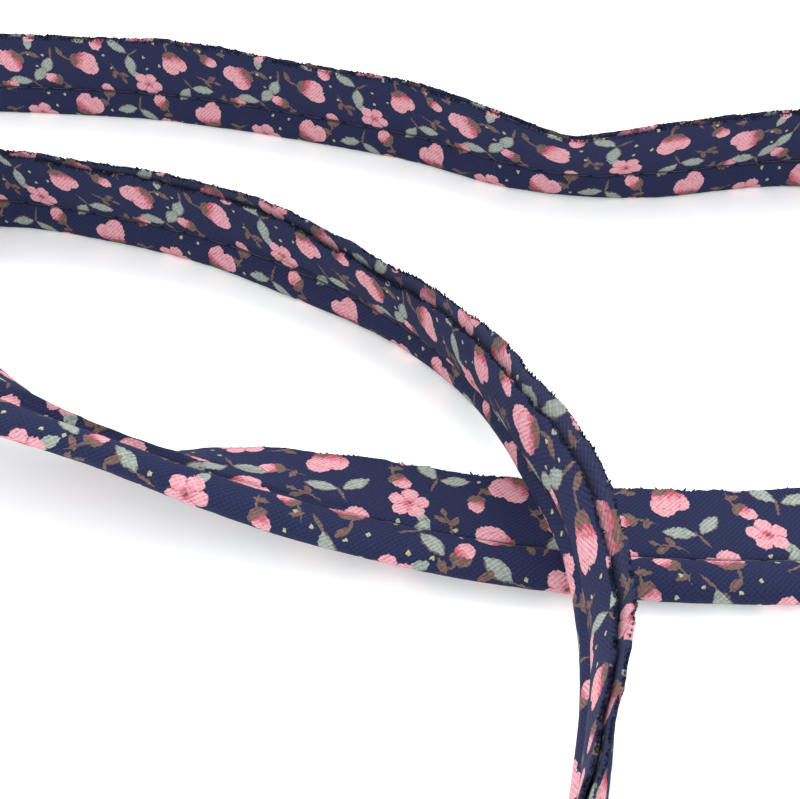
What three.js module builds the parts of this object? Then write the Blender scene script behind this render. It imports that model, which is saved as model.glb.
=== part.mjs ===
// A cut length of flanged piping: a printed cotton bias strip folded round a filler cord, sewn close
// beside it, so that the two layers of the strip stand off the cord as a flat flange with raw edges.
// It lies loosely on a table: a far run, a turn, a near run that lifts and twists at its other end,
// a second turn, and a last run that crosses over the near one and ends in the second cut end.
// Millimetres, +Z up. X is the longest extent, the table is Z = 0 and the origin is in the middle of
// the outline on the table.

import * as THREE from "three";

// The section across the piping.
const CORD_HALF_WIDTH = 1.8; // the cord with its cover, pressed to an oval, in line with the flange
const CORD_HALF_THICKNESS = 1.1; // the same, square to the flange
const SEAM_REACH = 2.05; // from the cord's middle to the row of stitches
const FLANGE_WIDTH = 7.35; // from the stitches to the raw edge
const LAYER = 0.5; // one layer of the flange
const LAYER_GAP = 0.3; // between the layers beside the stitches
const SEAM_PINCH = 0.15; // how much the stitches press each layer in
const PARTED_AT = 0.06; // share of the flange's width over which the stitches hold the layers together
const CORD_OPENING = 36; // degrees on each side of the flange where the cord's oval ends
const CORD_POINTS = 19; // points round the cord, close enough that its underside comes out flat
const OUTER_STATIONS = [0.2, 0.45, 0.72, 1]; // shares of the flange's width, on its outer faces
const INNER_STATIONS = [1, 0.72, 0.35]; // the same on the faces between the layers

// Steps along the route between two rows of the table below.
const STEPS_PER_ROW = 3;

// Middle of the outline in the route's own coordinates, which becomes the origin.
const MIDDLE = { x: 6.66, y: 4.45 };

// The route, chosen by hand, a row for each section, in mm and degrees. x, y and z place the cord's
// middle. roll is the flange's direction at the stitches, from level on the left of the way of travel
// (0) through upright (90) to level on the right (180). curl is how far the flange bends on from there
// to its raw edge. open is how far the layers part at the raw edge, and over how much further the layer
// on the outside reaches than the other.
const ROUTE = [
  // x, y, z, roll, curl, open, over
  [-57, 53, 1.6, 109, 0, 0.2, 0],
  [-32.5, 50.8, 1.6, 108, 0, 0.2, 0],
  [-20.5, 48.2, 1.6, 106, 0, 0.2, 0],
  [-7.5, 43.8, 1.6, 110, 0, 0.2, 0],
  [2, 40, 1.6, 109, 0, 0.2, 0],
  [10, 35.2, 1.6, 113, 0, 0.2, 0],
  [17.5, 32.9, 1.53, 124, 0, 0.2, 0],
  [26, 32.6, 1.57, 114, 0, 0.2, 0],
  [40, 34.9, 1.6, 112, 0, 0.2, 0],
  [53, 33.2, 1.62, 107, 0, 0.2, 0],
  [63.5, 26.5, 1.64, 102, 0, 0.2, 0],
  [69, 15.5, 1.64, 102, 0, 0.2, 0],
  [68.5, 3, 1.58, 112, 0, 0.2, 0],
  [62, -8.5, 1.4, 134, 0, 0.2, 0],
  [52, -16.5, 1.15, 160, 0, 0.2, 0],
  [40.5, -20.2, 1, 180, 0, 0.2, 0],
  [28.5, -20.9, 1.1, 184, 0, 0.2, 0],
  [17, -20.7, 1.25, 185, 0, 0.2, 0],
  [5.5, -19.5, 1.8, 187, 0, 0.2, 0],
  [-5.5, -17.3, 2.9, 191.5, 3, 0.2, 0],
  [-14, -15.4, 4.7, 203.5, 8, 0.2, 0],
  [-21.5, -13.6, 6.8, 218, 25, 0.2, 0],
  [-29.5, -11.3, 8.3, 201, 50, 0.2, 0],
  [-38, -7, 9, 180, 60, 0.2, 0],
  [-46.5, 0.8, 9, 155, 50, 0.2, 0],
  [-52, 9, 7.6, 131, 25, 0.2, 0],
  [-52.5, 17.8, 5, 116, 0, 0.2, 0],
  [-47, 24.5, 2.6, 111, 0, 0.2, 0],
  [-38, 26.8, 1.6, 111, 0, 0.2, 0],
  [-28, 24.1, 1.6, 111, 0, 0.2, 0.5],
  [-18.5, 20.2, 1.6, 108, 0, 0.2, 0.8],
  [-10, 14.9, 1.63, 104, 0, 0.25, 1],
  [-2, 9.1, 1.6, 114, -12, 0.25, 1.2],
  [3.7, 3, 1.65, 119, -30, 0.25, 1.2],
  [7.5, -4.8, 2.9, 120, -40, 0.25, 1.2],
  [9.8, -13.5, 4.5, 117, -50, 0.25, 1.2],
  [11.86, -22, 4.8, 109, -50, 0.25, 1.2],
  [12.25, -30, 2.7, 101, -40, 0.25, 1],
  [10.8, -38, 1.65, 98, -24, 0.2, 0.6],
  [8.9, -45, 1.65, 97, -15, 0.2, 0.3],
];

const radians = THREE.MathUtils.degToRad;
const CORD_MIDDLE = new THREE.Vector2(0, 0);
const CORD_HALVES = new THREE.Vector2(CORD_HALF_WIDTH, CORD_HALF_THICKNESS);

// The two curves that carry the table's columns smoothly from row to row.
const smooth = (points) => new THREE.CatmullRomCurve3(points, false, "catmullrom", 0.5);
const middleLine = smooth(ROUTE.map(([x, y, z]) => new THREE.Vector3(x, y, z)));
const flangeLine = smooth(ROUTE.map(([, , , roll, curl]) => new THREE.Vector3(roll, curl, 0)));
const edgeLine = smooth(ROUTE.map(([, , , , , open, over]) => new THREE.Vector3(open, over, 0)));

// The middle of the flange, in the plane across the cord, at a share of its width.
function flangeMiddle(share, width, roll, curl) {
  const pieces = 12;
  const point = new THREE.Vector2(Math.cos(roll), Math.sin(roll)).multiplyScalar(SEAM_REACH);
  const step = (share * width) / pieces;
  for (let i = 0; i < pieces; i++) {
    const direction = roll + (curl * share * (i + 0.5)) / pieces;
    point.x += step * Math.cos(direction);
    point.y += step * Math.sin(direction);
  }
  return { point, direction: roll + curl * share };
}

// A point of the flange, the given distance to one side (+1 or -1) of its middle.
function besideFlange(side, share, distance, { roll, curl, width }) {
  const { point, direction } = flangeMiddle(share, width, roll, curl);
  const away = new THREE.Vector2(-Math.sin(direction), Math.cos(direction));
  return point.addScaledVector(away, side * distance);
}

// One layer of the flange, from its outer face at the stitches to its inner face.
function layerOutline(side, shape) {
  const halfGap = (share) => LAYER_GAP / 2 + (shape.open / 2) * share * share;
  const outline = [besideFlange(side, 0.01, LAYER_GAP / 2 + LAYER - SEAM_PINCH, shape)];
  for (const share of OUTER_STATIONS) {
    outline.push(besideFlange(side, share, halfGap(share) + LAYER, shape));
  }
  for (const share of INNER_STATIONS) {
    outline.push(besideFlange(side, share, halfGap(share), shape));
  }
  return outline;
}

// The whole section as one closed outline: round the cord, out and back along one layer, and out and
// back along the other.
function sectionOutline({ roll, curl, open, over }) {
  const outline = [];
  for (let i = 0; i < CORD_POINTS; i++) {
    const share = i / (CORD_POINTS - 1);
    const angle = radians(CORD_OPENING + share * (360 - 2 * CORD_OPENING));
    const point = new THREE.Vector2(Math.cos(angle), Math.sin(angle)).multiply(CORD_HALVES);
    outline.push(point.rotateAround(CORD_MIDDLE, roll));
  }
  const long = { roll, curl, open, width: FLANGE_WIDTH };
  const short = { roll, curl, open, width: FLANGE_WIDTH - over };
  outline.push(...layerOutline(-1, long));
  outline.push(besideFlange(1, PARTED_AT, 0, long));
  outline.push(...layerOutline(1, short).reverse());
  return outline;
}

// The section at a place along the route, set across the way of travel and kept off the table.
function sectionAt(place) {
  const middle = middleLine.getPoint(place);
  const along = middleLine.getTangent(place);
  const left = new THREE.Vector3(0, 0, 1).cross(along).normalize();
  const up = along.clone().cross(left);
  const flange = flangeLine.getPoint(place);
  const edge = edgeLine.getPoint(place);
  const outline = sectionOutline({
    roll: radians(flange.x),
    curl: radians(flange.y),
    open: edge.x,
    over: edge.y,
  });
  const points = outline.map((p) => {
    const point = middle.clone().addScaledVector(left, p.x).addScaledVector(up, p.y);
    point.z = Math.max(point.z, 0);
    return point;
  });
  return { outline, points };
}

// The closed surface through all the sections, with a flat cut face at each end.
function sweptGeometry() {
  const steps = (ROUTE.length - 1) * STEPS_PER_ROW;
  const sections = [];
  for (let i = 0; i <= steps; i++) {
    sections.push(sectionAt(i / steps));
  }
  const around = sections[0].points.length;
  const triangles = [];
  for (let i = 0; i < steps; i++) {
    for (let j = 0; j < around; j++) {
      const next = (j + 1) % around;
      const a = i * around + j;
      const b = i * around + next;
      triangles.push(a, b, a + around);
      triangles.push(b, b + around, a + around);
    }
  }
  const last = steps * around;
  for (const [a, b, c] of THREE.ShapeUtils.triangulateShape(sections[0].outline, [])) {
    triangles.push(c, b, a);
  }
  for (const [a, b, c] of THREE.ShapeUtils.triangulateShape(sections[steps].outline, [])) {
    triangles.push(last + a, last + b, last + c);
  }
  const geometry = new THREE.BufferGeometry();
  geometry.setFromPoints(sections.flatMap((section) => section.points));
  geometry.setIndex(triangles);
  geometry.translate(-MIDDLE.x, -MIDDLE.y, 0);
  geometry.computeVertexNormals();
  return geometry;
}

// The piping is one piece: its cover and its flange are one strip of cloth, and the cord is sewn in.
function piping() {
  const cotton = new THREE.MeshStandardMaterial({ color: 0x2d3558, roughness: 0.9, metalness: 0 });
  const mesh = new THREE.Mesh(sweptGeometry(), cotton);
  mesh.name = "piping";
  return mesh;
}

const part = new THREE.Group();
part.add(piping());

export default part;
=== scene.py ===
"""A cut length of flanged piping on a plain pale floor: a flower-printed cotton bias strip folded round a
cord and sewn close beside it, with its two raw-edged layers standing off as a flange."""

import math

import bpy
import numpy as np
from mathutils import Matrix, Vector


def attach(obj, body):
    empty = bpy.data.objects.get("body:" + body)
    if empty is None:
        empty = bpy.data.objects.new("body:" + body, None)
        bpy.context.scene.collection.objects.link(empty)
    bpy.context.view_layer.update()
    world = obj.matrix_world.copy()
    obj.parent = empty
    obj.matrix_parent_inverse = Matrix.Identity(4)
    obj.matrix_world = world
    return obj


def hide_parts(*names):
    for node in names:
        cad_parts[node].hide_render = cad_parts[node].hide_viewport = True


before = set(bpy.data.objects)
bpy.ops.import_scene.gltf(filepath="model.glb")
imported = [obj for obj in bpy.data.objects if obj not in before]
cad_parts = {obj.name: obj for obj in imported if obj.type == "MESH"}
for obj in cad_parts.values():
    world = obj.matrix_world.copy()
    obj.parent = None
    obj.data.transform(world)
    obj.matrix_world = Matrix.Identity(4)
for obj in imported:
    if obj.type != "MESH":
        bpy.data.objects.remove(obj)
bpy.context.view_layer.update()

MM = 0.001

# The section across the piping, in mm.
CORD_HALF_WIDTH = 1.8  # the cord with its cover, pressed to an oval, in line with the flange
CORD_HALF_THICKNESS = 1.1  # the same, square to the flange
SEAM_REACH = 2.05  # from the cord's middle to the stitches
FLANGE_WIDTH = 7.35  # from the stitches to the raw edge
CLOTH = 0.27  # thickness of the cotton
TOUCHING = 0.03  # least space between the two layers
SEAM_PINCH = 0.2  # how much the stitches press each layer in
CORD_OPENING = 36  # degrees on each side of the flange where the cord's oval ends
STITCH_PITCH = 2.5
STITCH_GAP = 0.16  # between two stitches, where the thread dips into the cloth
THREAD_RADIUS = 0.09
STEP = 0.62  # between two sections of the cover's mesh
OFF_FLOOR = 0.01  # least height of the stitches and of the thread ends

# How unevenly the cloth lies, in mm.
PINCH_REACH = 0.45  # how far from the stitches the layers are pressed in
PUCKER_REACH = 1.6  # how far from the stitches the puckers and drag lines fade
PUCKER_HEIGHT = 0.05
DRAG_HEIGHT = 0.05
EDGE_SWAY = 0.1  # sideways, in long waves, at the raw edge
EDGE_FLUTTER = 0.03  # the same in short waves
EDGE_WAVES = 0.06  # in and out along the raw edge
EDGE_TEETH = 0.13  # the same from one section to the next, as single threads stand out

# How unevenly the cord swells, as shares of its width.
CORD_SWELL = 0.012  # in long waves
CORD_RIPPLE = 0.01  # in short waves

# The frayed ends of threads at the raw edges, in mm.
END_ROOT = 0.12  # how far inside the edge an end starts
END_REACH = (0.06, 0.16, 0.14)  # least reach, spread, and more for a few long ones
END_RADII = np.array([0.09, 0.085, 0.05])  # at the root, at a third and at the tip

# The kind of cloth that a thread end is, for the material.
FRAYED = 2.0

# The weave, in mm, on the bias: both sets of threads cross the strip at 45 degrees.
WARP_PITCH = 0.325
WEFT_PITCH = 0.292

# Middle of the outline in the route's own coordinates.
MIDDLE = np.array([6.66, 4.45, 0.0])

# The route of the cord's middle, in mm and degrees, as in the solids. roll is the
# flange's direction at the stitches, from level on the left of the way of travel (0) through upright
# (90) to level on the right (180). curl is how far the flange bends on from there to its raw edge. open
# is how far the layers part at the raw edge, and over how much further layer -1 reaches than layer 1.
ROUTE = [
    # x, y, z, roll, curl, open, over
    (-57, 53, 1.6, 109, 0, 0.2, 0),
    (-32.5, 50.8, 1.6, 108, 0, 0.2, 0),
    (-20.5, 48.2, 1.6, 106, 0, 0.2, 0),
    (-7.5, 43.8, 1.6, 110, 0, 0.2, 0),
    (2, 40, 1.6, 109, 0, 0.2, 0),
    (10, 35.2, 1.6, 113, 0, 0.2, 0),
    (17.5, 32.9, 1.53, 124, 0, 0.2, 0),
    (26, 32.6, 1.57, 114, 0, 0.2, 0),
    (40, 34.9, 1.6, 112, 0, 0.2, 0),
    (53, 33.2, 1.62, 107, 0, 0.2, 0),
    (63.5, 26.5, 1.64, 102, 0, 0.2, 0),
    (69, 15.5, 1.64, 102, 0, 0.2, 0),
    (68.5, 3, 1.58, 112, 0, 0.2, 0),
    (62, -8.5, 1.4, 134, 0, 0.2, 0),
    (52, -16.5, 1.15, 160, 0, 0.2, 0),
    (40.5, -20.2, 1, 180, 0, 0.2, 0),
    (28.5, -20.9, 1.1, 184, 0, 0.2, 0),
    (17, -20.7, 1.25, 185, 0, 0.2, 0),
    (5.5, -19.5, 1.8, 187, 0, 0.2, 0),
    (-5.5, -17.3, 2.9, 191.5, 3, 0.2, 0),
    (-14, -15.4, 4.7, 203.5, 8, 0.2, 0),
    (-21.5, -13.6, 6.8, 218, 25, 0.2, 0),
    (-29.5, -11.3, 8.3, 201, 50, 0.2, 0),
    (-38, -7, 9, 180, 60, 0.2, 0),
    (-46.5, 0.8, 9, 155, 50, 0.2, 0),
    (-52, 9, 7.6, 131, 25, 0.2, 0),
    (-52.5, 17.8, 5, 116, 0, 0.2, 0),
    (-47, 24.5, 2.6, 111, 0, 0.2, 0),
    (-38, 26.8, 1.6, 111, 0, 0.2, 0),
    (-28, 24.1, 1.6, 111, 0, 0.2, 0.5),
    (-18.5, 20.2, 1.6, 108, 0, 0.2, 0.8),
    (-10, 14.9, 1.63, 104, 0, 0.25, 1),
    (-2, 9.1, 1.6, 114, -12, 0.25, 1.2),
    (3.7, 3, 1.65, 119, -30, 0.25, 1.2),
    (7.5, -4.8, 2.9, 120, -40, 0.25, 1.2),
    (9.8, -13.5, 4.5, 117, -50, 0.25, 1.2),
    (11.86, -22, 4.8, 109, -50, 0.25, 1.2),
    (12.25, -30, 2.7, 101, -40, 0.25, 1),
    (10.8, -38, 1.65, 98, -24, 0.2, 0.6),
    (8.9, -45, 1.65, 97, -15, 0.2, 0.3),
]

# Long soft ridges (height above 0) and creases (below 0) beside the stitches, with the rows of the route
# between which they run.
# The creases below 0 also get painted shade in the cloth's colour, deepest along their middles.
CREASES = [
    # first row, last row, layer, distance from the stitches, height and half width in mm
    (20.0, 22.4, -1, 1.7, 0.95, 1.0),
    (20.1, 22.3, -1, 1.35, -0.03, 0.3),
    (18.6, 22.6, -1, 0.7, -0.1, 0.2),
    (19.4, 22.2, -1, 2.6, -0.16, 0.24),
    (30.2, 33.6, 1, 0.8, -0.12, 0.25),
    (34.2, 38.4, 1, 1.0, -0.15, 0.3),
]


def smooth_table(rows, place):
    """The table's columns at fractional row numbers, on a uniform Catmull-Rom curve through the rows."""
    rows = np.asarray(rows, float)
    padded = np.vstack([2 * rows[0] - rows[1], rows, 2 * rows[-1] - rows[-2]])
    index = np.clip(np.floor(place).astype(int), 0, len(rows) - 2)
    t = (place - index)[:, None]
    before, start, end, after = (padded[index + k] for k in range(4))
    leave = (end - before) / 2
    arrive = (after - start) / 2
    square = (-3 * start + 3 * end - 2 * leave - arrive) * t**2
    cube = (2 * start - 2 * end + leave + arrive) * t**3
    return start + leave * t + square + cube


class Route:
    """The route at evenly spaced steps: places, directions across it, and the table's other columns."""

    def __init__(self, step):
        fine = np.linspace(0, len(ROUTE) - 1, 4001)
        places = smooth_table(ROUTE, fine)[:, :3]
        run = np.concatenate([[0], np.cumsum(np.linalg.norm(np.diff(places, axis=0), axis=1))])
        self.length = run[-1]
        count = int(round(self.length / step))
        self.along = np.linspace(0, self.length, count + 1)
        self.row = np.interp(self.along, run, fine)
        values = smooth_table(ROUTE, self.row)
        self.middle = values[:, :3] - MIDDLE
        self.roll = np.radians(values[:, 3])
        self.curl = np.radians(values[:, 4])
        self.open = values[:, 5]
        self.over = values[:, 6]
        ahead = smooth_table(ROUTE, np.clip(self.row + 0.01, 0, len(ROUTE) - 1))[:, :3]
        behind = smooth_table(ROUTE, np.clip(self.row - 0.01, 0, len(ROUTE) - 1))[:, :3]
        way = ahead - behind
        self.way = way / np.linalg.norm(way, axis=1)[:, None]
        left = np.cross([0, 0, 1.0], self.way)
        self.left = left / np.linalg.norm(left, axis=1)[:, None]
        self.up = np.cross(self.way, self.left)

    def place(self, across, upward):
        """Points in space for section coordinates, one for each step."""
        return self.middle + across[:, None] * self.left + upward[:, None] * self.up

    def width(self, side):
        """Width of one layer of the flange."""
        return FLANGE_WIDTH - np.maximum(side * self.over, 0)


def wander(along, seed, longest, shortest, count=7):
    """A soft uneven wave between about -1 and 1, made of sines of several lengths."""
    rng = np.random.default_rng(seed)
    lengths = np.geomspace(longest, shortest, count)
    total = np.zeros_like(along)
    for length in lengths:
        total += np.sin(2 * math.pi * (along / length + rng.random())) * (0.6 + 0.8 * rng.random())
    return total / math.sqrt(2 * count)


def flange_line(route, distance):
    """Middle of the flange at a distance from the stitches: section coordinates and direction."""
    pieces = 16
    across = SEAM_REACH * np.cos(route.roll)
    upward = SEAM_REACH * np.sin(route.roll)
    step = distance / pieces
    bend = route.curl * distance / FLANGE_WIDTH
    for i in range(pieces):
        direction = route.roll + bend * (i + 0.5) / pieces
        across = across + step * np.cos(direction)
        upward = upward + step * np.sin(direction)
    return across, upward, route.roll + bend


def creases_at(route, side, distance):
    """How far ridges and creases lift the cloth at a distance from the stitches, and how deep in a crease it
    is, from 0 to 1, which sets the painted shade there."""
    lift = np.zeros_like(route.along)
    depth = np.zeros_like(route.along)
    for first, last, crease_side, at, height, half_width in CREASES:
        if crease_side == side:
            run = np.clip((route.row - first) / (last - first), 0, 1)
            ridge = np.sin(math.pi * run) ** 0.7 * np.exp(-(((distance - at) / half_width) ** 2))
            lift += height * ridge
            if height < 0:
                depth = np.maximum(depth, ridge)
    return lift, depth


def layer_face(route, side, share, depth):
    """One line of a layer of the flange along the whole route. depth is 0 on its outer face and 1 on the
    face between the layers."""
    distance = share * route.width(side)
    across, upward, direction = flange_line(route, distance)
    parted = TOUCHING + route.open * share**2
    parted = parted * (1 + 0.5 * wander(route.along, 11 + side, 30, 7) * share)
    pinch = np.exp(-((distance / PINCH_REACH) ** 2))
    offset = parted / 2 + (1 - depth) * (CLOTH - SEAM_PINCH * pinch)
    near = np.exp(-distance / PUCKER_REACH)
    stitches = np.sin(2 * math.pi * route.along / STITCH_PITCH + side)
    puckers = PUCKER_HEIGHT * near * (1 - pinch) * stitches
    drag = DRAG_HEIGHT * near * wander(route.along + side * distance, 21 + side, 9, 1.6)
    lift, _ = creases_at(route, side, distance)
    offset = np.maximum(offset + puckers + drag + lift, TOUCHING / 2)
    sway = EDGE_SWAY * share**1.5 * wander(route.along, 5, 34, 6)
    sway = sway + EDGE_FLUTTER * share * wander(route.along, 6, 5, 1.5)
    shift = side * offset + sway
    return across - shift * np.sin(direction), upward + shift * np.cos(direction)


def section_lines():
    """Angles round the cord from its far side, their distances from there over the cloth, and the distance
    at which the stitches are."""
    angles = np.radians(np.linspace(0, 180 - CORD_OPENING, 17))
    fine = np.linspace(0, angles[-1], 801)
    speed = np.hypot(CORD_HALF_WIDTH * np.sin(fine), CORD_HALF_THICKNESS * np.cos(fine))
    steps = (speed[1:] + speed[:-1]) / 2 * np.diff(fine)
    runs = np.interp(angles, fine, np.concatenate([[0], np.cumsum(steps)]))
    opening = math.radians(CORD_OPENING)
    neck = math.hypot(
        SEAM_REACH - CORD_HALF_WIDTH * math.cos(opening),
        CORD_HALF_THICKNESS * math.sin(opening) - TOUCHING / 2 - CLOTH + SEAM_PINCH,
    )
    return angles, runs, runs[-1] + neck


# The lines along the flange's outer faces and along the faces between its layers, as shares of its width.
FLANGE_SHARES = np.array([0, 0.012, 0.03, 0.055, 0.085, 0.12, 0.165, 0.22, 0.29])
FLANGE_SHARES = np.concatenate([FLANGE_SHARES, np.linspace(0.37, 0.96, 9), [1]])
INNER_SHARES = np.concatenate([np.linspace(0.05, 0.37, 5), np.linspace(0.47, 1, 7)])


def cover_lines(route):
    """The closed outline of the section as lines along the route. Each line has its points, its place across
    the flat strip, and the kind of cloth with painted shade: 0 on the right side, down to -1 where painted
    shade darkens a crease, and 1 on the wrong side."""
    angles, runs, seam_at = section_lines()
    lines = []
    rng = np.random.default_rng(3)
    ragged = {}
    for side in (1, -1):
        teeth = rng.uniform(-EDGE_TEETH, EDGE_TEETH, len(route.along))
        ragged[side] = EDGE_WAVES * wander(route.along, 31 + side, 4, 0.8, 9) + teeth

    def flange(side, share, depth):
        distance = share * route.width(side)
        points = route.place(*layer_face(route, side, share, depth))
        if share == 1:
            _, _, direction = flange_line(route, distance)
            outward = np.cos(direction)[:, None] * route.left + np.sin(direction)[:, None] * route.up
            points = points + outward * ragged[side][:, None]
        _, crease_shade_share = creases_at(route, side, distance)
        # below 0: the share of painted shade in a crease
        kind = 1 if depth == 1 else -crease_shade_share
        lines.append((points, side * (seam_at + distance), kind))

    def round_cord(side, angle, run):
        ripple = wander(route.along + 1.5 * run, 42, 4, 1.2)
        swell = 1 + CORD_SWELL * wander(route.along, 41, 14, 3) + CORD_RIPPLE * ripple
        out = -CORD_HALF_WIDTH * math.cos(angle) * swell
        beside = side * CORD_HALF_THICKNESS * math.sin(angle) * swell
        across = out * np.cos(route.roll) - beside * np.sin(route.roll)
        upward = out * np.sin(route.roll) + beside * np.cos(route.roll)
        lines.append((route.place(across, upward), np.full_like(route.along, side * run), 0))

    for share in FLANGE_SHARES[::-1]:
        flange(1, share, 0)
    for angle, run in zip(angles[::-1], runs[::-1]):
        round_cord(1, angle, run)
    for angle, run in zip(angles[1:], runs[1:]):
        round_cord(-1, angle, run)
    for share in FLANGE_SHARES:
        flange(-1, share, 0)
    for share in INNER_SHARES[::-1]:
        flange(-1, share, 1)
    for share in INNER_SHARES:
        flange(1, share, 1)
    return lines


def new_object(name, vertices, faces, cloth=None):
    """An object with smooth faces. cloth gives each point its place along and across the flat strip, in mm,
    and the kind of cloth with the painted shade in creases, for the material."""
    mesh = bpy.data.meshes.new(name)
    mesh.from_pydata([tuple(v) for v in np.asarray(vertices) * MM], [], faces)
    if cloth is not None:
        attribute = mesh.attributes.new("cloth", "FLOAT_VECTOR", "POINT")
        attribute.data.foreach_set("vector", np.asarray(cloth, float).ravel())
    mesh.validate()
    mesh.polygons.foreach_set("use_smooth", [True] * len(mesh.polygons))
    mesh.update()
    piece = bpy.data.objects.new(name, mesh)
    bpy.context.scene.collection.objects.link(piece)
    return piece


def make_cover(route):
    """The whole strip as one closed mesh, with a flat cut face at each end."""
    lines = cover_lines(route)
    around = len(lines)
    steps = len(route.along)
    points = np.stack([line[0] for line in lines], axis=1)
    points[:, :, 2] = np.maximum(points[:, :, 2], 0.0)
    cloth = np.zeros((steps, around, 3))
    cloth[:, :, 0] = route.along[:, None]
    for j, (_, across, kind) in enumerate(lines):
        cloth[:, j, 1] = across
        cloth[:, j, 2] = kind
    faces = []
    for i in range(steps - 1):
        for j in range(around):
            k = (j + 1) % around
            faces.append((i * around + j, (i + 1) * around + j, (i + 1) * around + k, i * around + k))
    faces.append(tuple(range(around)))
    faces.append(tuple(reversed(range((steps - 1) * around, steps * around))))
    return new_object("printed_cover", points.reshape(-1, 3), faces, cloth.reshape(-1, 3))


def tube(centres, sides_a, sides_b, radii, corners):
    """Vertices and faces of a closed tube along centres, round in the plane of two direction lists."""
    turns = 2 * math.pi * np.arange(corners) / corners
    ring = np.cos(turns)[:, None, None] * sides_a + np.sin(turns)[:, None, None] * sides_b
    vertices = (centres + ring * radii[:, None]).transpose(1, 0, 2).reshape(-1, 3)
    faces = []
    for i in range(len(centres) - 1):
        for j in range(corners):
            k = (j + 1) % corners
            a = i * corners
            faces.append((a + j, a + k, a + corners + k, a + corners + j))
    faces.append(tuple(reversed(range(corners))))
    last = (len(centres) - 1) * corners
    faces.append(tuple(range(last, last + corners)))
    return vertices, faces


class Joined:
    """Many small closed bodies gathered into one mesh."""

    def __init__(self):
        self.vertices = []
        self.faces = []
        self.cloth = []
        self.count = 0

    def add(self, vertices, faces, cloth=None):
        self.faces += [tuple(self.count + i for i in face) for face in faces]
        self.vertices.append(vertices)
        if cloth is not None:
            self.cloth.append(np.broadcast_to(cloth, (len(vertices), 3)))
        self.count += len(vertices)

    def object(self, name):
        cloth = np.concatenate(self.cloth) if self.cloth else None
        return new_object(name, np.concatenate(self.vertices), self.faces, cloth)


def make_edge_threads(route):
    """Short ends of the bias threads that stick out of the two raw edges."""
    rng = np.random.default_rng(7)
    _, _, seam_at = section_lines()
    spacing = (WARP_PITCH + WEFT_PITCH) / 2 * math.sqrt(2)
    least, spread, more = END_REACH
    joined = Joined()
    for side in (1, -1):
        width = route.width(side)
        lines = [layer_face(route, side, share, depth) for share in (0.955, 1) for depth in (0, 1)]
        inner = (route.place(*lines[0]) + route.place(*lines[1])) / 2
        edge = (route.place(*lines[2]) + route.place(*lines[3])) / 2
        outward = edge - inner
        outward /= np.linalg.norm(outward, axis=1)[:, None]
        face = np.cross(route.way, outward)
        for lean in (1, -1):
            starts = np.arange(spacing / 2, route.length - 0.5, spacing)
            starts = starts + rng.uniform(-0.12, 0.12, len(starts)) + 0.1 * lean
            for start in starts:
                i = int(np.searchsorted(route.along, start))
                i = min(max(i, 1), len(route.along) - 1)
                part = (start - route.along[i - 1]) / (route.along[i] - route.along[i - 1])
                out, way, normal = outward[i], route.way[i], face[i]
                at = edge[i - 1] * (1 - part) + edge[i] * part + normal * rng.uniform(-0.08, 0.08)
                reach = least + spread * rng.random() + more * rng.random() ** 4
                heading = out + way * lean * rng.uniform(0.4, 1.1) + normal * rng.uniform(-0.25, 0.25)
                heading /= np.linalg.norm(heading)
                bend = normal * rng.uniform(-0.3, 0.3) + out * rng.uniform(-0.3, 0.3)
                travel = np.array([-END_ROOT, 0.35 * reach, reach])
                centres = at + travel[:, None] * heading + (travel[:, None] ** 2) * bend
                across = np.cross(heading, normal)
                across /= np.linalg.norm(across)
                radii = END_RADII * rng.uniform(0.7, 1.15)
                vertices, faces = tube(centres, across, np.cross(heading, across), radii, 4)
                vertices[:, 2] = np.maximum(vertices[:, 2], OFF_FLOOR)
                joined.add(vertices, faces, (start, side * (seam_at + width[i]), FRAYED))
    return joined.object("edge_threads")


def make_stitching(route):
    """The row of stitches in the groove on each side of the flange."""
    joined = Joined()
    rng = np.random.default_rng(13)
    for side in (1, -1):
        across, upward = layer_face(route, side, 0.0, 0)
        groove = route.place(across, upward)
        normal_x, normal_y = -np.sin(route.roll) * side, np.cos(route.roll) * side
        normal = normal_x[:, None] * route.left + normal_y[:, None] * route.up
        for n in range(int(route.length / STITCH_PITCH)):
            first = n * STITCH_PITCH + STITCH_GAP / 2
            shares = np.array([0, 0.08, 0.25, 0.5, 0.75, 0.92, 1])
            travel = first + (STITCH_PITCH - STITCH_GAP) * shares
            lift = np.array([-0.12, -0.03, 0, 0.01, 0, -0.03, -0.12]) + rng.uniform(-0.01, 0.01)
            centres = np.stack([np.interp(travel, route.along, groove[:, k]) for k in range(3)], axis=1)
            ups = np.stack([np.interp(travel, route.along, normal[:, k]) for k in range(3)], axis=1)
            ways = np.gradient(centres, axis=0)
            ways /= np.linalg.norm(ways, axis=1)[:, None]
            sides_a = np.cross(ways, ups)
            sides_a /= np.linalg.norm(sides_a, axis=1)[:, None]
            centres = centres + lift[:, None] * ups
            radii = THREAD_RADIUS * np.array([0.7, 0.95, 1, 1, 1, 0.95, 0.7])
            vertices, faces = tube(centres, sides_a, np.cross(ways, sides_a), radii, 6)
            vertices[:, 2] = np.maximum(vertices[:, 2], OFF_FLOOR)
            joined.add(vertices, faces)
    return joined.object("stitching")


# Materials


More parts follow.
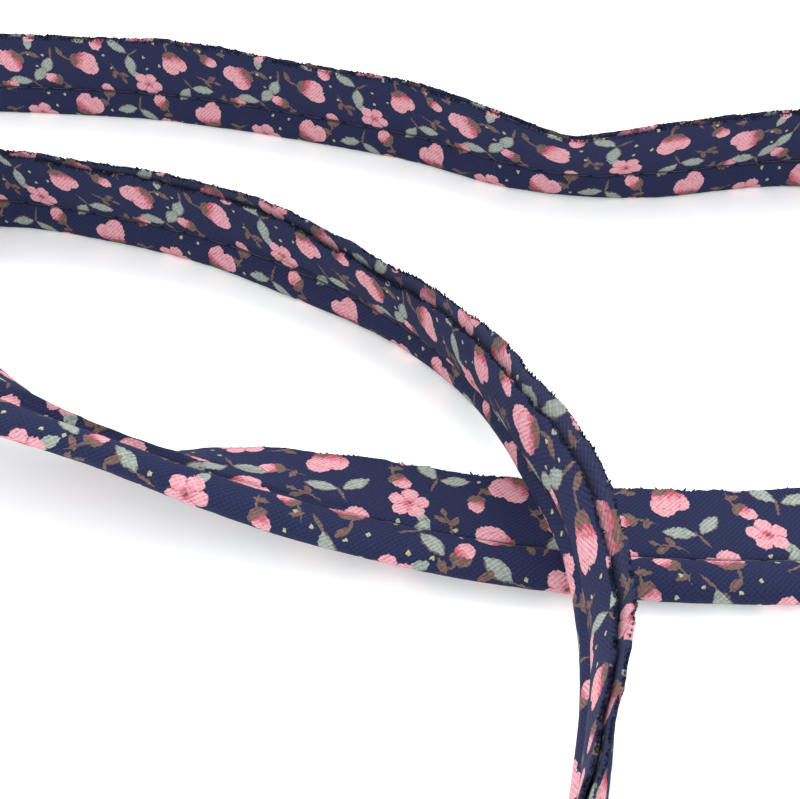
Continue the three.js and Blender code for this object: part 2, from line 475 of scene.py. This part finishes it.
class Field:
    """A number that varies over the surface, with Python's arithmetic turned into shader nodes."""

    def __init__(self, tree, socket):
        self.tree = tree
        self.socket = socket

    def math(self, operation, *others):
        node = self.tree.nodes.new("ShaderNodeMath")
        node.operation = operation
        for slot, value in zip(node.inputs, (self, *others)):
            if isinstance(value, Field):
                self.tree.links.new(value.socket, slot)
            else:
                slot.default_value = value
        return Field(self.tree, node.outputs[0])

    def __add__(self, other):
        return self.math("ADD", other)

    def __sub__(self, other):
        return self.math("SUBTRACT", other)

    def __mul__(self, other):
        return self.math("MULTIPLY", other)

    def __truediv__(self, other):
        return self.math("DIVIDE", other)

    __radd__ = __add__
    __rmul__ = __mul__

    def __rsub__(self, other):
        return (self * -1.0).math("ADD", other)

    def cos(self):
        return self.math("COSINE")

    def abs(self):
        return self.math("ABSOLUTE")

    def power(self, exponent):
        return self.math("POWER", exponent)

    def largest(self, other):
        return self.math("MAXIMUM", other)

    def least(self, other):
        return self.math("MINIMUM", other)

    def steps(self, start, end):
        """0 below start, 1 above end, and smooth between."""
        node = self.tree.nodes.new("ShaderNodeMapRange")
        node.interpolation_type = "SMOOTHSTEP"
        self.tree.links.new(self.socket, node.inputs["Value"])
        node.inputs["From Min"].default_value = start
        node.inputs["From Max"].default_value = end
        return Field(self.tree, node.outputs["Result"])

    def snapped(self, pitch, share):
        """Drawn part of the way to the nearest multiple of the pitch, as print follows threads."""
        return self * (1 - share) + self.math("SNAP", pitch) * share + share * pitch / 2


def split(tree, socket):
    node = tree.nodes.new("ShaderNodeSeparateXYZ")
    tree.links.new(socket, node.inputs[0])
    return [Field(tree, output) for output in node.outputs]


def joined_vector(x, y, z=0.0):
    node = x.tree.nodes.new("ShaderNodeCombineXYZ")
    for slot, value in zip(node.inputs, (x, y, z)):
        if isinstance(value, Field):
            x.tree.links.new(value.socket, slot)
        else:
            slot.default_value = value
    return node.outputs[0]


def noise(tree, place, scale, roughness=0.5):
    node = tree.nodes.new("ShaderNodeTexNoise")
    node.inputs["Scale"].default_value = scale
    node.inputs["Detail"].default_value = 1.0
    node.inputs["Roughness"].default_value = roughness
    tree.links.new(place, node.inputs["Vector"])
    return Field(tree, node.outputs[0])


def mixed(tree, share, low, high):
    """Colour low where share is 0 and high where it is 1. Either may be a fixed colour."""
    node = tree.nodes.new("ShaderNodeMix")
    node.data_type = "RGBA"
    slots = {slot.identifier: slot for slot in node.inputs}
    tree.links.new(share.socket, slots["Factor_Float"])
    for name, colour in (("A_Color", low), ("B_Color", high)):
        if isinstance(colour, tuple):
            slots[name].default_value = (*colour, 1)
        else:
            tree.links.new(colour, slots[name])
    return next(output for output in node.outputs if output.identifier == "Result_Color")


# The printed repeat as a chart: a square of this many mm that repeats both ways.
REPEAT = 19.0

MOTIFS = [
    # kind, x, y in mm, turn in degrees, size
    ("blossom", 2.8, 2.9, 10, 1.05),
    ("blossom", 12.2, 10.4, 50, 1.1),
    ("blossom", 6.2, 16.4, 130, 1.0),
    ("tulip", 8.6, 4.9, 200, 1.05),
    ("tulip", 16.4, 3.6, 95, 1.1),
    ("tulip", 3.2, 9.6, 320, 1.05),
    ("tulip", 17.2, 13.6, 250, 1.05),
    ("tulip", 11.2, 16.6, 20, 1.0),
    ("bud", 6.9, 9.0, 60, 1.05),
    ("bud", 12.8, 5.6, 290, 1.0),
    ("bud", 17.6, 8.6, 150, 1.05),
    ("bud", 1.7, 13.8, 215, 1.0),
    ("bud", 14.9, 0.1, 340, 1.0),
    ("bud", 17.9, 18.2, 180, 1.0),
    ("bud", 5.3, 0.0, 170, 1.0),
    ("leaves", 15.5, 7.2, 200, 1.1),
    ("leaves", 8.2, 12.4, 110, 1.1),
    ("leaves", 2.6, 17.6, 60, 1.05),
    ("leaves", 9.8, 1.0, 20, 1.05),
    ("leaf", 5.6, 6.4, 350, 1.1),
    ("leaf", 0.1, 6.9, 75, 1.1),
    ("leaf", 14.6, 14.6, 200, 1.1),
    ("twig", 4.9, 12.9, 20, 0.95),
    ("twig", 10.4, 7.9, 100, 0.95),
    ("twig", 12.3, 1.5, 330, 0.9),
    ("dots", 5.2, 4.2, 0, 1.0),
    ("dots", 9.9, 10.2, 70, 1.0),
    ("dots", 15.4, 10.3, 130, 1.0),
    ("dots", 5.0, 11.2, 200, 1.0),
    ("dots", 12.7, 13.4, 40, 1.0),
    ("dots", 18.2, 16.2, 310, 1.0),
    ("dots", 18.6, 5.6, 250, 1.0),
    ("dots", 8.9, 15.0, 160, 1.0),
    ("dots", 15.6, 16.9, 100, 1.0),
]


def ellipse(x, y, at_x, at_y, wide, high):
    """1 in the middle, 0 on the outline, negative outside."""
    across = (x - at_x) / wide
    along = (y - at_y) / high
    return 1.0 - (across * across + along * along)


def leaf_shape(x, y, at_x, at_y, turn, length, width):
    """A pointed leaf, positive inside."""
    cosine, sine = math.cos(math.radians(turn)), math.sin(math.radians(turn))
    along = (x - at_x) * cosine + (y - at_y) * sine
    across = (y - at_y) * cosine - (x - at_x) * sine
    return (1.0 - (along / length) * (along / length)) - (across / width).abs()


def blossom(x, y):
    """Five round petals about a small dark eye, with a leaf behind."""
    radius = (x * x + y * y).power(0.5)
    angle = y.math("ARCTAN2", x)
    lobes = (angle * 2.5).cos().abs()
    rim = 1.02 + 0.62 * lobes.power(0.55) + 0.08 * (angle * 2.0 + 1.0).cos()
    pink = (rim - radius).steps(0.0, 0.08)
    clefts = lobes.steps(0.0, 0.3)
    shade = (1.0 - clefts) * (radius / 1.1).least(1.0) * 0.55 + (0.75 - radius).steps(0.0, 0.6) * 0.5
    eye = (0.19 - radius).steps(0.0, 0.08)
    sage = leaf_shape(x, y, -1.5, 1.15, 140, 1.0, 0.45).steps(0.0, 0.12)
    return pink * (1.0 - eye), sage, eye, shade


def tulip(x, y):
    """A fan of rounded petals seen from the side, in a brown calyx on a stem with a small leaf."""
    left = ellipse(x, y, -0.6, 0.5, 0.95, 1.1)
    right = ellipse(x, y, 0.64, 0.42, 0.92, 1.05)
    front = ellipse(x, y, 0.02, -0.1, 1.08, 1.15)
    pink = left.largest(right).largest(front).steps(0.0, 0.12)
    folds = (0.1 - front.abs()).steps(0.0, 0.1) * 0.4
    shade = folds + (-0.2 - y + 0.4 * x).steps(-0.5, 0.9) * 0.85
    bowl = ellipse(x, y, 0.12, -0.62, 1.12, 0.78).steps(0.0, 0.12)
    cup = bowl * (-0.62 - y + 0.3 * x + 0.18 * (x * 4.5).cos()).steps(0, 0.1)
    stem = leaf_shape(x, y, 0.45, -1.85, 112, 0.75, 0.14).steps(0.0, 0.2)
    small = leaf_shape(x, y, 1.15, -2.4, -18, 0.75, 0.32).steps(0.0, 0.2)
    return pink, None, cup.largest(stem).largest(small), shade


def bud(x, y):
    """A small closed bud in a brown cap, on a bent stem with one brown leaf."""
    pink = ellipse(x, y, 0.0, 0.25, 0.68, 0.86).steps(0.0, 0.15)
    shade = (0.1 - y + 0.5 * x).steps(-0.5, 0.7) * 0.8
    cup = ellipse(x, y, 0.05, -0.3, 0.78, 0.62).steps(0.0, 0.15) * (0.0 - y).steps(0.1, 0.22)
    bent = x - 0.28 * y * y
    stem = leaf_shape(bent, y, 0.0, -1.2, 90, 1.0, 0.13).steps(0.0, 0.25)
    small = leaf_shape(x, y, 0.9, -1.35, 40, 0.66, 0.3).steps(0.0, 0.2)
    return pink, None, cup.largest(stem).largest(small), shade


def leaves(x, y):
    """Two broad leaves on one stem, brown along their lower edges."""
    first = leaf_shape(x, y, -1.2, 0.5, 155, 1.25, 0.6)
    second = leaf_shape(x, y, 1.25, 0.6, 28, 1.3, 0.62)
    both = first.largest(second)
    rim = (0.26 - both).steps(0.0, 0.16) * (0.55 - y + 0.4 * x.abs()).steps(0.0, 0.3)
    stem = leaf_shape(x, y, 0.05, -0.6, 84, 0.95, 0.13).steps(0.0, 0.25)
    brown = stem.largest(rim * both.steps(0.0, 0.1) * 0.9)
    return None, both.steps(0.0, 0.1) * (1.0 - rim * 0.9), brown, (0.45 - both).steps(0.0, 0.45)


def leaf(x, y):
    """One broad leaf, brown along one edge, on a brown twig."""
    shape = leaf_shape(x, y, 0.0, 0.35, 90, 1.25, 0.62)
    rim = (0.3 - shape).steps(0.0, 0.18) * x.steps(0.0, 0.2)
    stem = leaf_shape(x - 0.2 * y, y, 0.1, -1.45, 84, 0.85, 0.15).steps(0.0, 0.25)
    brown = stem.largest(rim * shape.steps(0.0, 0.1) * 0.9)
    return None, shape.steps(0.0, 0.1) * (1.0 - rim * 0.9), brown, (0.45 - shape).steps(0.0, 0.45)


def twig(x, y):
    """A thin brown twig with three small leaves."""
    bent = x - 0.12 * y * y
    stem = leaf_shape(bent, y, 0.0, 0.0, 90, 1.5, 0.14)
    first = leaf_shape(x, y, 0.6, 0.75, 50, 0.66, 0.33)
    second = leaf_shape(x, y, -0.5, 0.3, 130, 0.64, 0.32)
    third = leaf_shape(x, y, 0.1, 1.5, 95, 0.55, 0.28)
    return None, None, stem.largest(first).largest(second).largest(third).steps(0.0, 0.2), None


def dots(x, y):
    """Three small scattered dots."""
    first = ellipse(x, y, 0.9, 0.2, 0.2, 0.17)
    second = ellipse(x, y, -0.6, 0.9, 0.17, 0.19)
    third = ellipse(x, y, -0.3, -1.0, 0.19, 0.16)
    return first.largest(second).largest(third).steps(0.0, 0.4)


SHAPES = {"blossom": blossom, "tulip": tulip, "bud": bud, "leaves": leaves, "leaf": leaf, "twig": twig}


def vector_math(tree, operation, *values):
    """The result of a vector operation on other nodes' outputs, fixed vectors or, for SCALE, a number."""
    node = tree.nodes.new("ShaderNodeVectorMath")
    node.operation = operation
    slots = [slot for slot in node.inputs if slot.enabled]
    for slot, value in zip(slots, values):
        if isinstance(value, (tuple, float)):
            slot.default_value = value
        else:
            tree.links.new(value, slot)
    return next(output for output in node.outputs if output.enabled)


def nearest_motif(tree, place, rows):
    """The place as seen from the nearest of several alike motifs of the repeat."""
    half = REPEAT / 2
    chosen = None
    least = None
    for x, y, turn, size in rows:
        away = vector_math(tree, "SUBTRACT", place, (x, y, 0.0))
        wrapped = vector_math(tree, "WRAP", away, (half, half, 1.0), (-half, -half, -1.0))
        turned = tree.nodes.new("ShaderNodeVectorRotate")
        turned.rotation_type = "Z_AXIS"
        turned.inputs["Angle"].default_value = -math.radians(turn)
        tree.links.new(wrapped, turned.inputs["Vector"])
        local = vector_math(tree, "SCALE", turned.outputs[0], 1 / size)
        distance = Field(tree, vector_math(tree, "LENGTH", local))
        if chosen is None:
            chosen = local
            least = distance
            continue
        choice = tree.nodes.new("ShaderNodeMix")
        choice.data_type = "VECTOR"
        slots = {slot.identifier: slot for slot in choice.inputs}
        tree.links.new(distance.math("LESS_THAN", least).socket, slots["Factor_Float"])
        tree.links.new(chosen, slots["A_Vector"])
        tree.links.new(local, slots["B_Vector"])
        chosen = next(output for output in choice.outputs if output.identifier == "Result_Vector")
        least = least.least(distance)
    return split(tree, chosen)[:2]


def largest_of(fields):
    total = fields[0]
    for field in fields[1:]:
        total = total.largest(field)
    return total


def draw_motifs(tree, place):
    """All the motifs of the repeat at a place on the flat cloth: pink, sage, brown, shading and dots."""
    pinks = []
    sages = []
    browns = []
    shades = []
    for kind, shape in SHAPES.items():
        rows = [row[1:] for row in MOTIFS if row[0] == kind]
        x, y = nearest_motif(tree, place, rows)
        pink, sage, brown, shade = shape(x, y)
        covers = [ink for ink in (pink, sage) if ink is not None]
        if pink is not None:
            pinks.append(pink)
        if sage is not None:
            sages.append(sage)
        if covers:
            shades.append(shade * largest_of(covers))
        browns.append(brown)
    rows = [row[1:] for row in MOTIFS if row[0] == "dots"]
    spots = dots(*nearest_motif(tree, place, rows))
    return largest_of(pinks), largest_of(sages), largest_of(browns), largest_of(shades), spots


# Colours, linear.
NAVY = (0.015, 0.019, 0.054)
NAVY_WORN = (0.026, 0.031, 0.077)
PALE_PINK = (0.66, 0.345, 0.39)
ROSE = (0.44, 0.075, 0.125)
SAGE = (0.315, 0.360, 0.325)
DEEP_SAGE = (0.120, 0.140, 0.130)
BROWN = (0.190, 0.122, 0.100)
DARK_BROWN = (0.095, 0.060, 0.055)
LIME = (0.40, 0.40, 0.23)
WRONG_SIDE = (0.055, 0.058, 0.082)
FRAYED_ENDS = (0.006, 0.008, 0.022)
THREAD_DARK = (0.008, 0.010, 0.026)
THREAD_LIGHT = (0.020, 0.024, 0.056)
FLOOR_DARK = (0.87, 0.89, 0.89)
FLOOR_LIGHT = (0.88, 0.90, 0.90)
FLOOR_GLOW = (0.97, 1.0, 1.0)

# The printed cloth's surface, with light and shade painted into its colour.
PRINT_WOBBLE = 0.3  # mm, how far the print's outlines waver
PRINT_SNAP = 0.25  # how closely the print's outlines follow the threads
WARP_SHARE = 0.36  # of the weave's relief
WEFT_SHARE = 0.64
WEAVE_PAINTED_LIGHT = 0.40  # painted highlight on the threads' tops and painted shade between them
FIBRE_SHADE = 0.3
GROOVE_HALF_WIDTH = 0.34  # mm, of the painted shade along the groove in which the stitches lie
GROOVE_PAINTED_SHADE = 0.6  # how much the painted shade darkens the cloth there
CREASE_PAINTED_SHADE = 0.6  # how much darker the painted shade makes the deepest creases
WRONG_SIDE_SHOWS = 0.2  # share of the wrong side's own colour in the print there


def new_material(name):
    material = bpy.data.materials.new(name)
    material.use_nodes = True
    tree = material.node_tree
    tree.nodes.clear()
    shader = tree.nodes.new("ShaderNodeBsdfPrincipled")
    output = tree.nodes.new("ShaderNodeOutputMaterial")
    tree.links.new(shader.outputs[0], output.inputs["Surface"])
    return material, tree, shader


def bumped(tree, shader, height, distance):
    node = tree.nodes.new("ShaderNodeBump")
    node.inputs["Distance"].default_value = distance * MM
    node.inputs["Strength"].default_value = 1.0
    tree.links.new(height.socket, node.inputs["Height"])
    tree.links.new(node.outputs[0], shader.inputs["Normal"])


def printed_cotton():
    """Plain-woven cotton on the bias, printed with small flowers on navy."""
    material, tree, shader = new_material("printed_cotton")
    given = tree.nodes.new("ShaderNodeAttribute")
    given.attribute_name = "cloth"
    along, across, kind = split(tree, given.outputs["Vector"])
    diagonal = math.sqrt(0.5)
    warp = (along + across) * diagonal
    weft = (along - across) * diagonal
    flat = joined_vector(warp, weft)

    wobble = (noise(tree, flat, 3.4) - 0.5) * PRINT_WOBBLE
    print_x = warp.snapped(WARP_PITCH, PRINT_SNAP) + wobble
    print_y = weft.snapped(WEFT_PITCH, PRINT_SNAP) - wobble
    pink, sage, brown, shade, spots = draw_motifs(tree, joined_vector(print_x, print_y))

    warp_wave = (warp * (math.pi / WARP_PITCH)).cos()
    weft_wave = (weft * (math.pi / WEFT_PITCH)).cos()
    weave = warp_wave * warp_wave * WARP_SHARE + weft_wave * weft_wave * WEFT_SHARE
    fibre = noise(tree, flat, 9.0, 0.6)
    _, _, seam_at = section_lines()
    # painted shade along the groove where the stitches lie
    groove = (GROOVE_HALF_WIDTH - (across.abs() - seam_at).abs()).steps(0.0, 0.3)
    # painted shade in the creases
    painted_crease_shade = (kind * -1.0).largest(0.0)

    strokes = noise(tree, joined_vector(warp * 1.2, weft * 4.5), 1.5, 0.6).steps(0.3, 0.7)
    ground = mixed(tree, fibre.steps(0.2, 0.8), NAVY, NAVY_WORN)
    petals = mixed(tree, (shade * 1.05 + strokes * 0.55 - 0.1).steps(0, 1), PALE_PINK, ROSE)
    foliage = mixed(tree, (shade * 0.35 + strokes * 0.6 - 0.1).steps(0, 1), SAGE, DEEP_SAGE)
    wood = mixed(tree, strokes * 0.8, BROWN, DARK_BROWN)
    colour = mixed(tree, sage * 0.95, ground, foliage)
    colour = mixed(tree, pink * 0.98, colour, petals)
    colour = mixed(tree, brown * 0.95, colour, wood)
    colour = mixed(tree, spots * 0.9, colour, LIME)
    colour = mixed(tree, kind.least(1.0) * WRONG_SIDE_SHOWS, colour, WRONG_SIDE)
    colour = mixed(tree, (kind - 1.0).steps(0.2, 0.8) * 0.85, colour, FRAYED_ENDS)
    # Painted light and shade: highlights on the threads' tops, shade between them, in the groove and in the
    # creases. The fibre term is the cloth's random tone.
    light = 0.77 + WEAVE_PAINTED_LIGHT * weave + FIBRE_SHADE * (fibre - 0.5)
    light = light * (1.0 - GROOVE_PAINTED_SHADE * groove) * (1.0 - CREASE_PAINTED_SHADE * painted_crease_shade)
    shaded = vector_math(tree, "SCALE", colour, light.socket)
    tree.links.new(shaded, shader.inputs["Base Color"])
    shader.inputs["Roughness"].default_value = 0.9
    shader.inputs["Specular IOR Level"].default_value = 0.05
    shader.inputs["Sheen Weight"].default_value = 0.01
    shader.inputs["Sheen Roughness"].default_value = 0.5
    bumped(tree, shader, weave + 0.35 * fibre, 0.025)
    return material


def sewing_thread():
    """Navy sewing thread with a fine twist."""
    material, tree, shader = new_material("sewing_thread")
    place = tree.nodes.new("ShaderNodeTexCoord").outputs["Object"]
    twist = tree.nodes.new("ShaderNodeTexWave")
    twist.bands_direction = "DIAGONAL"
    twist.inputs["Scale"].default_value = 900
    twist.inputs["Distortion"].default_value = 1.5
    tree.links.new(place, twist.inputs["Vector"])
    plies = Field(tree, twist.outputs["Fac"])
    colour = mixed(tree, plies, THREAD_DARK, THREAD_LIGHT)
    tree.links.new(colour, shader.inputs["Base Color"])
    shader.inputs["Roughness"].default_value = 0.6
    bumped(tree, shader, plies, 0.02)
    return material


def glowing_floor():
    """A white surface that glows a little, painted light that keeps the shadows on it pale."""
    material, tree, shader = new_material("pale_floor")
    place = tree.nodes.new("ShaderNodeTexCoord").outputs["Object"]
    mottle = noise(tree, place, 6.0)
    colour = mixed(tree, mottle, FLOOR_DARK, FLOOR_LIGHT)
    tree.links.new(colour, shader.inputs["Base Color"])
    # painted light: the floor's own glow lifts the shadows on it
    shader.inputs["Emission Color"].default_value = (*FLOOR_GLOW, 1)
    shader.inputs["Emission Strength"].default_value = 0.32
    shader.inputs["Roughness"].default_value = 0.8
    return material


# Camera, light and floor

CAMERA_ELEVATION = 40  # degrees above the table
CAMERA_DISTANCE = 98.6  # mm from the lens to the point of the table in the middle of the frame
SENSOR_WIDTH = 36  # mm
FOCAL_LENGTH = 53.64  # mm
SKY_STRENGTH = 1.4
LIGHT_PLACE = Vector((-0.15, 0.35, 0.75))  # m
LIGHT_SIZE = 0.5  # m
LIGHT_POWER = 3.6  # W
FLOOR_SIZE = 3  # m


def make_camera():
    data = bpy.data.cameras.new("camera")
    data.sensor_width = SENSOR_WIDTH
    data.lens = FOCAL_LENGTH
    data.clip_start = 0.005
    data.clip_end = 20
    camera = bpy.data.objects.new("camera", data)
    height = math.radians(CAMERA_ELEVATION)
    back = CAMERA_DISTANCE * np.array([0, -math.cos(height), math.sin(height)])
    camera.location = Vector((back - MIDDLE) * MM)
    camera.rotation_euler = (math.radians(90 - CAMERA_ELEVATION), 0, 0)
    bpy.context.scene.collection.objects.link(camera)
    bpy.context.scene.camera = camera


def make_light():
    """A soft round light above and behind the piping, aimed at the middle of the table."""
    data = bpy.data.lights.new("overhead", "AREA")
    data.shape = "DISK"
    data.size = LIGHT_SIZE
    data.energy = LIGHT_POWER
    light = bpy.data.objects.new("overhead", data)
    light.location = LIGHT_PLACE
    light.rotation_euler = (-LIGHT_PLACE).to_track_quat("-Z", "Y").to_euler()
    bpy.context.scene.collection.objects.link(light)


def make_studio():
    world = bpy.data.worlds.new("studio")
    world.use_nodes = True
    background = world.node_tree.nodes["Background"]
    background.inputs["Color"].default_value = (1, 1, 1, 1)
    background.inputs["Strength"].default_value = SKY_STRENGTH
    scene = bpy.context.scene
    scene.world = world
    scene.view_settings.view_transform = "Standard"
    scene.cycles.max_bounces = 4
    scene.cycles.diffuse_bounces = 2
    make_light()
    bpy.ops.mesh.primitive_plane_add(size=FLOOR_SIZE, location=(0, 0, 0))
    floor = bpy.context.object
    floor.name = "floor"
    floor.data.materials.append(glowing_floor())


def main():
    make_camera()
    route = Route(STEP)
    cotton = printed_cotton()
    cover = make_cover(route)
    cover.data.materials.append(cotton)
    threads = make_edge_threads(route)
    threads.data.materials.append(cotton)
    stitching = make_stitching(route)
    stitching.data.materials.append(sewing_thread())
    for piece in (cover, threads, stitching):
        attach(piece, "root")
    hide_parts("piping")
    # The strip is 23.9 mm wide before it is folded.
    make_studio()


main()
